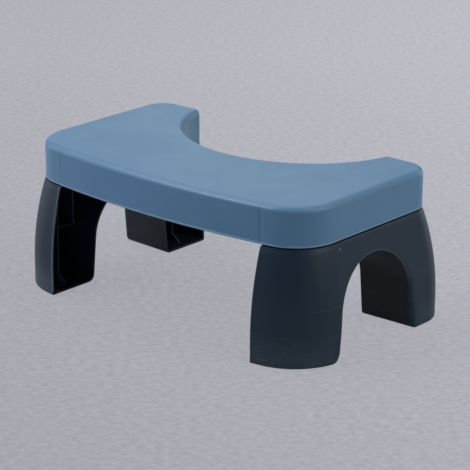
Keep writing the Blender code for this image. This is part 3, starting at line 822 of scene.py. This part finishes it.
# Near black of the painted shade over the legs' hollow side.
leg_hollow_shade = (0.0025, 0.0048, 0.0110)
leg_shine = 0.4
leg_roughness = 0.43
leg_grain = {"Grain Size": 0.0010, "Drift Size": 0.045}
leg_drift_share = 0.5
leg_drift_roughness = 0.05
outer_face_depth = 0.032
outer_side_softness = 0.3
hollow_shade_share = 0.85
sink_shelf_z = 0.0622
sink_rib_y = (-0.0948, 0.0927)
sink_rib_shares = (0.35, 0.9)
leg_sink_width = 0.0019
leg_sink_depth = 0.00003
sink_highlight_share = 0.10
gate_mark_place = (0.2023, -0.0506, 0.1189)
gate_mark_radius = 0.0025
pin_mark_place = (0.2135, 0.0903, 0.0622)
pin_mark_radius = 0.0011
mark_core_share = 0.3
mark_height = 0.00015
arch_glint_width = 0.0014
arch_glint_offset = 0.0018
arch_glint_share = 0.9
rim_glint_width = 0.0010
rim_glint_share = 0.9
wear_start_z = 0.004
# Shares of the painted floor light low on the feet, the second for the left foot only.
painted_floor_light_share = 0.30
left_painted_floor_light_share = 0.35
leg_scuffs = {"Speck Size": 0.0028, "Patch Size": 0.022, "Cover": 0.35}
scuff_top_z = 0.042
scuff_share = 0.30
scuff_roughness = 0.12
foot_scratches = {"Size": 0.013, "Thinness": 0.016, "Cover": 0.60}
scratch_top_z = 0.058
scratch_stretch = (0.40, 0.40, 1.3)
scratch_share = 0.75
scratch_depth = 0.00002
leg_hairlines = {"Size": 0.05, "Thinness": 0.005, "Cover": 0.4}
leg_hairline_share = 0.10


def round_mark(tree, axes, centre, radius):
    """A small round spot on both legs, from the distance to its centre on the right leg or its mirror."""
    mirrored = wire(tree, "ShaderNodeCombineXYZ", {
        "X": arithmetic(tree, "ABSOLUTE", axes["X"]), "Y": axes["Y"], "Z": axes["Z"]}).outputs[0]
    away = wire(tree, "ShaderNodeVectorMath", {0: mirrored, 1: centre}, operation="DISTANCE").outputs["Value"]
    return smooth_fall(tree, away, radius * mark_core_share, radius)


leg_material, tree, shader, place, axes = plastic("leg_satin", leg_shine)
grain, drift = placed(tree, "moulded_grain", {"Coordinates": place, **leg_grain})
out_x = arithmetic(tree, "ABSOLUTE", axes["X"])
outside = arithmetic(tree, "GREATER_THAN", out_x, leg_inner_x + outer_face_depth)
past_front_rib = arithmetic(tree, "GREATER_THAN", axes["Y"], sink_rib_y[0])
before_rear_rib = arithmetic(tree, "LESS_THAN", axes["Y"], sink_rib_y[1])
# Sink lines on the legs' outer faces: pale painted highlights with shallow bump dips.
shelf_line = line_at(tree, axes["Z"], sink_shelf_z, leg_sink_width)
sink_dips_and_highlights = multiply(tree, shelf_line, past_front_rib, before_rear_rib)
for rib_y, share in zip(sink_rib_y, sink_rib_shares):
    rib_line = multiply(tree, line_at(tree, axes["Y"], rib_y, leg_sink_width), share)
    sink_dips_and_highlights = arithmetic(tree, "MAXIMUM", sink_dips_and_highlights, rib_line)
sink_dips_and_highlights = multiply(tree, sink_dips_and_highlights, outside)
marks = arithmetic(tree, "MAXIMUM", round_mark(tree, axes, gate_mark_place, gate_mark_radius),
                   round_mark(tree, axes, pin_mark_place, pin_mark_radius))

from_spring = wire(tree, "ShaderNodeCombineXYZ", {
    "X": 0.0, "Y": subtract(tree, axes["Y"], arch_y),
    "Z": arithmetic(tree, "MAXIMUM", subtract(tree, axes["Z"], arch_spring_z), 0.0)}).outputs[0]
from_arch = wire(tree, "ShaderNodeVectorMath", {0: from_spring}, operation="LENGTH").outputs["Value"]
# Painted glint along the arch's lip, and a painted highlight along the front foot's open edge.
arch_glint = multiply(
    tree, line_at(tree, from_arch, arch_radius + arch_glint_offset, arch_glint_width),
    smooth_rise(tree, axes["Z"], arch_spring_z, arch_spring_z + arch_radius / 2), outside)
rim_glint = multiply(
    tree, line_at(tree, out_x, leg_inner_x, rim_glint_width),
    arithmetic(tree, "LESS_THAN", axes["Y"], sink_rib_y[0]),
    smooth_rise(tree, axes["Z"], foot_z + leg_wall, foot_z + 2 * leg_wall))

facing = wire(tree, "ShaderNodeSeparateXYZ", {"Vector": place.node.outputs["Normal"]}).outputs
out_facing = []
for label, middle in (("X", 0.0), ("Y", arch_y)):
    side = arithmetic(tree, "SIGN", subtract(tree, axes[label], middle))
    out_facing.append(multiply(tree, facing[label], side))
outer_side = smooth_rise(tree, arithmetic(tree, "MAXIMUM", *out_facing), 0, outer_side_softness)

low = smooth_fall(tree, axes["Z"], wear_start_z, scuff_top_z)
aside = arithmetic(tree, "ABSOLUTE", subtract(tree, axes["Y"], arch_y))
past_arch = smooth_rise(tree, aside, arch_radius + lip_radius_at_foot, arch_radius + 3 * lip_radius_at_foot)
# Painted light from the floor, low on the feet's outer faces away from the arch, stronger on the left foot.
painted_floor_light = multiply(tree, low, past_arch, outer_side)
left_painted_floor_light = multiply(tree, painted_floor_light, arithmetic(tree, "LESS_THAN", axes["X"], 0.0))
flat_place = wire(
    tree, "ShaderNodeVectorMath", {0: place, 1: scratch_stretch}, operation="MULTIPLY").outputs[0]
scratch = multiply(tree, placed(tree, "hairlines", {"Coordinates": flat_place, **foot_scratches}),
                   smooth_fall(tree, axes["Z"], wear_start_z, scratch_top_z))
scuff = multiply(tree, placed(tree, "scuffs", {"Coordinates": place, **leg_scuffs}), low, outer_side)
hairline = placed(tree, "hairlines", {"Coordinates": place, **leg_hairlines})

colour = lay_over(
    tree, leg_slate,
    (drift, leg_drift_share, leg_slate_deep),
    # Painted shade over the hollow side.
    (subtract(tree, 1.0, outer_side), hollow_shade_share, leg_hollow_shade),
    (sink_dips_and_highlights, sink_highlight_share, leg_pale_wear_and_highlight),
    (arch_glint, arch_glint_share, leg_pale_wear_and_highlight),
    (painted_floor_light, painted_floor_light_share, leg_pale_wear_and_highlight),
    (left_painted_floor_light, left_painted_floor_light_share, leg_pale_wear_and_highlight),
    (rim_glint, rim_glint_share, leg_edge_highlight),
    (hairline, leg_hairline_share, leg_pale_wear_and_highlight),
    (scuff, scuff_share, leg_pale_wear_and_highlight),
    (scratch, scratch_share, leg_pale_wear_and_highlight),
    (marks, 1.0, leg_pale_wear_and_highlight))
roughness = add_up(tree, leg_roughness, (drift, leg_drift_roughness), (scuff, scuff_roughness))
height = add_up(tree, 0.0, (grain, grain_height), (sink_dips_and_highlights, -leg_sink_depth), (scratch, -scratch_depth),
                (marks, mark_height))
finish_plastic(tree, shader, colour, roughness, height)

leg_shape = leg_shell_shape()
for side, mirrored in sides:
    shell = add_piece(f"{side}_leg_shell", leg_shape, leg_material, f"{side}_leg")
    close_seams(shell, mirrored)
    round_edges(shell, leg_rim_radius)


# Leg ribs: webs moulded inside each leg. One stands in the middle of each foot with a gusset at its base,
# a shelf joins it to the arch, and more stand on the shelves and on the arch's crown up to the deck.
leg_rib_thickness = 0.0020
leg_rib_setback = 0.021
leg_root_depth = 0.0012
lip_clearance = 0.0030
gusset_width = 0.013
gusset_height = 0.010
front_foot_rib_inset = 0.0265
rear_foot_rib_inset = 0.018
shelf_rise = 0.0196
upper_rib_from_arch = 0.070
crown_rib_spacing = 0.028
upright_web_points = 30
shelf_web_points = 24
free_edge_points = 7

rib_face_x = leg_inner_x + leg_rib_setback
foot_floor_z = foot_z + leg_wall
web_top_z = deck_z - leg_wall + leg_root_depth
shelf_z = arch_spring_z + shelf_rise + leg_rib_thickness / 2


def leg_wall_x(y, z):
    """X inside the leg's outer wall, deep enough for a web to root in it, at the shoulder as well."""
    out = np.where(z < shoulder_z, flare(z), spigot_offset) - leg_wall + leg_root_depth
    return leg_plan(leg_run(y, out), out)[0]


def leg_web(free_edge, root, across):
    """A web between its free edge and its root, two rows of points: flat sides and a round free edge."""
    half = leg_rib_thickness / 2
    inward = (root - free_edge) / np.linalg.norm(root - free_edge, axis=-1, keepdims=True)
    turn = np.radians(np.linspace(90, -90, free_edge_points))[:, None, None]
    across = np.array(across)
    rounded = free_edge + inward * half * (1 - np.cos(turn)) + across * half * np.sin(turn)
    return np.concatenate([[root + across * half], rounded, [root - across * half]])


def upright_web(y, low, gusset=False, root_low=None):
    """A web that stands up inside the leg at y, from its rounded free edge out to the leg's wall.

    Over the arch its foot slopes up to root_low at the wall, clear of the arch's rounded lip.
    """
    breaks = [low, foot_floor_z + gusset_height, shoulder_z - leg_wall, shoulder_z, web_top_z]
    even = np.linspace(low, web_top_z, upright_web_points)
    z = np.unique(np.concatenate([even, [level for level in breaks if low <= level <= web_top_z]]))
    free_x = np.full_like(z, rib_face_x)
    if gusset:
        free_x -= gusset_width * np.clip((foot_floor_z + gusset_height - z) / gusset_height, 0, 1)
    root_z = z if root_low is None else np.maximum(z, root_low)
    root = as_points(leg_wall_x(y, root_z), y, root_z)
    return leg_web(as_points(free_x, y, z), root, (0, 1, 0))


def shelf_web(rib_y, hand):
    """The shelf from a foot's upright web to the arch, level at the shelf's height."""
    reach = math.sqrt((arch_radius + leg_root_depth) ** 2 - (shelf_z - arch_spring_z) ** 2)
    y = np.linspace(rib_y, arch_y + hand * reach, shelf_web_points)
    root_y = np.linspace(rib_y, arch_y + hand * (reach + lip_clearance), shelf_web_points)
    root = as_points(leg_wall_x(root_y, shelf_z), root_y, shelf_z)
    return leg_web(as_points(rib_face_x, y, shelf_z), root, (0, 0, 1))


leg_webs = []
for hand, rib_y in ((-1, front_y + front_foot_rib_inset), (1, rear_y - rear_foot_rib_inset)):
    leg_webs.append(upright_web(rib_y, foot_floor_z - leg_root_depth, gusset=True))
    leg_webs.append(shelf_web(rib_y, hand))
    leg_webs.append(upright_web(arch_y + hand * upper_rib_from_arch, shelf_z))
for step in (-1, 0, 1):
    crown_y = step * crown_rib_spacing
    crown_z = arch_spring_z + math.sqrt((arch_radius + leg_root_depth) ** 2 - crown_y**2)
    leg_webs.append(upright_web(arch_y + crown_y, crown_z, root_low=crown_z + lip_clearance))
for side, mirrored in sides:
    ribs = add_piece(f"{side}_leg_ribs", ringed_shape(*leg_webs), leg_material, f"{side}_leg")
    close_seams(ribs, mirrored)


# Snap tongues: two springy strips that hang from each leg's deck, moulded with it. The tooth on each clicks
# into a window of the socket wall, and is ramped above so that it slides in.
tongue_thickness = 0.0020
tongue_setback = 0.0003
tooth_reach = 0.0032
tooth_land = 0.0012
tongue_edge_radius = 0.0004

tongue_face_x = leg_inner_x + tongue_setback
tooth_x = leg_inner_x - tooth_reach
tongue_x, tongue_z = np.transpose([
    (tongue_face_x, deck_z - leg_wall / 2),
    (tongue_face_x, tooth_z + tooth_height),
    (tooth_x, tooth_z + tooth_land),
    (tooth_x, tooth_z),
    (tongue_face_x, tooth_z),
    (tongue_face_x, deck_z - tongue_length),
    (tongue_face_x + tongue_thickness, deck_z - tongue_length),
    (tongue_face_x + tongue_thickness, deck_z - leg_wall / 2),
])
for side, mirrored in sides:
    node = f"{side}_leg"
    for place, hand in (("front", -1), ("rear", 1)):
        middle_y = arch_y + hand * tongue_from_arch
        ends = [(tongue_x, middle_y + half, tongue_z) for half in (-tongue_width / 2, tongue_width / 2)]
        shape = ringed_shape(carried(*ends))
        tongue = add_piece(f"{node}_{place}_tongue", shape, leg_material, node)
        close_seams(tongue, mirrored)
        round_edges(tongue, tongue_edge_radius, segments=2, angle=30)


# Foot pads: four soft black non-slip pads, pressed into shallow pockets under the feet. The edge that meets
# the floor is rounded, and a fine diamond grip covers the rubber.
pad_inset = 0.0050
pad_edge_radius = 0.0006
pad_seat_depth = 0.0011
pad_outline_points = 60
pad_black = (0.020, 0.020, 0.022)
pad_dust = (0.075, 0.073, 0.070)
pad_shine = 0.3
pad_roughness = 0.74
pad_grain = {"Grain Size": 0.0006, "Drift Size": 0.02}
pad_dust_share = 0.45
pad_dust_roughness = 0.12
grip_pitch = 0.0030
grip_depth = 0.00025

pad_material, tree, shader, place, axes = plastic("pad_rubber", pad_shine)
grain, drift = placed(tree, "moulded_grain", {"Coordinates": place, **pad_grain})
ridges = []
for operation in ("ADD", "SUBTRACT"):
    across = arithmetic(tree, operation, axes["X"], axes["Y"])
    ridges.append(arithmetic(tree, "PINGPONG", across, grip_pitch / math.sqrt(2)))
grip = smooth_rise(tree, arithmetic(tree, "MINIMUM", *ridges), 0, grip_pitch / 6)
colour = lay_over(tree, pad_black, (drift, pad_dust_share, pad_dust))
roughness = add_up(tree, pad_roughness, (drift, pad_dust_roughness))
finish_plastic(tree, shader, colour, roughness, add_up(tree, 0.0, (grain, grain_height), (grip, grip_depth)))


def foot_pad_outline(hand):
    """A pad's plan under the front foot, hand -1, or the rear foot: the foot's outline less the inset."""
    out = foot_flare - pad_inset
    radius = front_foot_corner_radius if hand < 0 else rear_foot_corner_radius
    arch_end = arch_y + hand * (arch_half_base + pad_inset + radius)
    turning_run = float(leg_run(np.array(arch_end), out))
    inner_x = leg_inner_x + pad_inset
    ends = (0, turning_run) if hand < 0 else (turning_run, whole_run)
    x, y = leg_plan(np.linspace(*ends, pad_outline_points), out)
    outline = as_points(x, y)[x > inner_x]
    corners = [(inner_x, arch_end), (inner_x, outline[0, 1])]
    if hand > 0:
        corners = [(inner_x, outline[-1, 1]), (inner_x, arch_end)]
    return np.concatenate([outline, corners])


for hand, place in ((-1, "front"), (1, "rear")):
    x, y = foot_pad_outline(hand).T
    shape = ringed_shape(carried(*((x, y, z) for z in (0, foot_z + pad_seat_depth))))
    for side, mirrored in sides:
        node = f"{place}_{side}_foot_pad"
        pad = add_piece(f"{node}_rubber", shape, pad_material, node)
        close_seams(pad, mirrored)
        round_edges(pad, pad_edge_radius)


# Floor and backdrop: pale grey paper on a table. The paper is a round sheet that the camera sees mostly as an
# even glow, with fine streaks, a painted light falloff that is darker towards the near left and brighter
# towards the far right, and the stool's soft shadow on it. It lets light through from below, so that the feet
# can be seen.
paper_radius = 7.0
paper_edge_points = 96
paper_colour = (0.443, 0.446, 0.490)
paper_roughness = 0.9
paper_glow_share = 0.87
reflected_glow_share = 0.15
streak_turn = math.radians(41.44)
streak_length = 0.0080
streak_width = 0.0062
streak_contrast = 0.42
# Painted light falloff over the paper: its darkest and brightest tones and where they lie.
painted_falloff_low = 0.84
painted_falloff_high = 1.20
painted_falloff_dark_place = (-0.30, -0.45)
painted_falloff_bright_place = (0.55, 1.10)

paper = bpy.data.materials.new("pale_paper")
paper.use_nodes = True
tree = paper.node_tree
shader = tree.nodes["Principled BSDF"]
turned = wire(tree, "ShaderNodeMapping", {
    "Vector": tree.nodes.new("ShaderNodeTexCoord").outputs["Object"],
    "Rotation": (0, 0, -streak_turn)}).outputs[0]
along = wire(tree, "ShaderNodeSeparateXYZ", {"Vector": turned}).outputs
streak_tone = wire(tree, "ShaderNodeMapRange", {
    "Value": noise(tree, turned, (streak_length, streak_width, 1), detail=2),
    "To Min": 1 - streak_contrast / 2, "To Max": 1 + streak_contrast / 2}).outputs["Result"]
# Painted light falloff: darker towards the near left and brighter towards the far right.
shares = []
for label, near, far in zip("XY", painted_falloff_dark_place, painted_falloff_bright_place):
    feeds = {"Value": along[label], "From Min": near, "From Max": far}
    shares.append(wire(tree, "ShaderNodeMapRange", feeds).outputs["Result"])
painted_falloff_share = multiply(tree, arithmetic(tree, "ADD", *shares), 0.5)
streak_and_falloff_tone = multiply(tree, streak_tone, add_up(tree, painted_falloff_low, (painted_falloff_share, painted_falloff_high - painted_falloff_low)))
paper_tint_with_falloff = wire(
    tree, "ShaderNodeVectorMath", {0: paper_colour, "Scale": streak_and_falloff_tone}, operation="SCALE").outputs[0]
tree.links.new(paper_tint_with_falloff, shader.inputs["Base Color"])
shader.inputs["Roughness"].default_value = paper_roughness
glow = wire(tree, "ShaderNodeEmission", {"Color": paper_tint_with_falloff}).outputs[0]
light_path = tree.nodes.new("ShaderNodeLightPath").outputs
seen = arithmetic(tree, "MAXIMUM", light_path["Is Camera Ray"], light_path["Is Transmission Ray"])
even_share = arithmetic(tree, "MAXIMUM", multiply(tree, seen, paper_glow_share),
                        multiply(tree, light_path["Is Glossy Ray"], reflected_glow_share))
even = wire(tree, "ShaderNodeMixShader", {0: even_share, 1: shader.outputs["BSDF"], 2: glow}).outputs[0]
below = tree.nodes.new("ShaderNodeNewGeometry").outputs["Backfacing"]
clear = tree.nodes.new("ShaderNodeBsdfTransparent").outputs[0]
sheet = wire(tree, "ShaderNodeMixShader", {0: below, 1: even, 2: clear}).outputs[0]
tree.links.new(sheet, tree.nodes["Material Output"].inputs["Surface"])

around = np.linspace(0, 2 * math.pi, paper_edge_points, endpoint=False)
edge = as_points(paper_radius * np.cos(around), paper_radius * np.sin(around), 0)
mesh = bpy.data.meshes.new("paper_sheet")
mesh.from_pydata(edge.tolist(), [], [list(range(len(edge)))])
mesh.materials.append(paper)
floor = bpy.data.objects.new("paper_sheet", mesh)
bpy.context.scene.collection.objects.link(floor)


# Studio light: a dim even surround and large square softboxes that face the stool all round, each given by
# its azimuth, elevation, power, colour and size. The brightest stand on the left, in front and on the right.
surround_colour = (0.95, 1.0, 1.05)
surround_strength = 0.12
softbox_distance = 2.0
wide_box = 1.2
small_box = 0.6
cool_white = (0.96, 1.0, 1.04)
plain_white = (1.0, 1.0, 1.0)
warm_white = (1.0, 0.97, 0.90)
softboxes = [
    ("front_high", -30, 58, 1.0, cool_white, wide_box),
    ("left_front", -62, 30, 5.5, cool_white, wide_box),
    ("left_high", -90, 58, 9.8, plain_white, wide_box),
    ("left_low", -75, 6, 4.0, cool_white, wide_box),
    ("rear_left_high", -150, 58, 4.0, plain_white, wide_box),
    ("rear_left", -150, 30, 1.6, plain_white, wide_box),
    ("rear_left_low", -130, 6, 2.5, plain_white, wide_box),
    ("rear_low", 165, 6, 6.0, plain_white, wide_box),
    ("rear_right", 135, 35, 3.0, warm_white, wide_box),
    ("right", 100, 30, 11.0, warm_white, wide_box),
    ("right_high", 90, 58, 6.7, plain_white, wide_box),
    ("front_key", -35, 44, 15.5, cool_white, small_box),
]

world = bpy.data.worlds.new("studio")
world.use_nodes = True
background = world.node_tree.nodes["Background"]
background.inputs["Color"].default_value = (*surround_colour, 1)
background.inputs["Strength"].default_value = surround_strength
bpy.context.scene.world = world


def sightline(azimuth, elevation):
    """The direction (sin a cos e, -cos a cos e, sin e) of a viewpoint, its azimuth a from the front."""
    return Vector((math.sin(azimuth) * math.cos(elevation), -math.cos(azimuth) * math.cos(elevation),
                   math.sin(elevation)))


for name, azimuth, elevation, power, colour, size in softboxes:
    away = sightline(math.radians(azimuth), math.radians(elevation))
    data = bpy.data.lights.new(name, "AREA")
    data.size = size
    data.energy = power
    data.color = colour
    lamp = bpy.data.objects.new(name, data)
    lamp.location = Vector((0, 0, top_z / 2)) + away * softbox_distance
    lamp.rotation_euler = away.to_track_quat("Z", "Y").to_euler()
    lamp.visible_camera = False
    bpy.context.scene.collection.objects.link(lamp)


# Camera: the photograph's viewpoint, from the right of the bowed front edge and a little above.
camera_azimuth = math.radians(41.436)
camera_elevation = math.radians(19.247)
camera_roll = math.radians(0.174)
camera_distance = 2.2753
aim_height = 0.0859
aim_right = 0.0142
aim_up = -0.00994
focal_pixels = 2062.3
picture_pixels = 470
sensor_width = 36.0

back = sightline(camera_azimuth, camera_elevation)
level_right = Vector((math.cos(camera_azimuth), math.sin(camera_azimuth), 0))
level_up = back.cross(level_right)
right = level_right * math.cos(camera_roll) + level_up * math.sin(camera_roll)
up = level_up * math.cos(camera_roll) - level_right * math.sin(camera_roll)
camera_data = bpy.data.cameras.new("photo_camera")
camera_data.sensor_width = sensor_width
camera_data.lens = focal_pixels * sensor_width / picture_pixels
camera = bpy.data.objects.new("photo_camera", camera_data)
stand = Vector((0, (front_y + rear_y) / 2, aim_height)) + back * camera_distance
turn = Matrix((right, up, back)).transposed().to_4x4()
camera.matrix_world = Matrix.Translation(stand + right * aim_right + up * aim_up) @ turn
bpy.context.scene.collection.objects.link(camera)
bpy.context.scene.camera = camera
bpy.context.scene.view_settings.view_transform = "Standard"
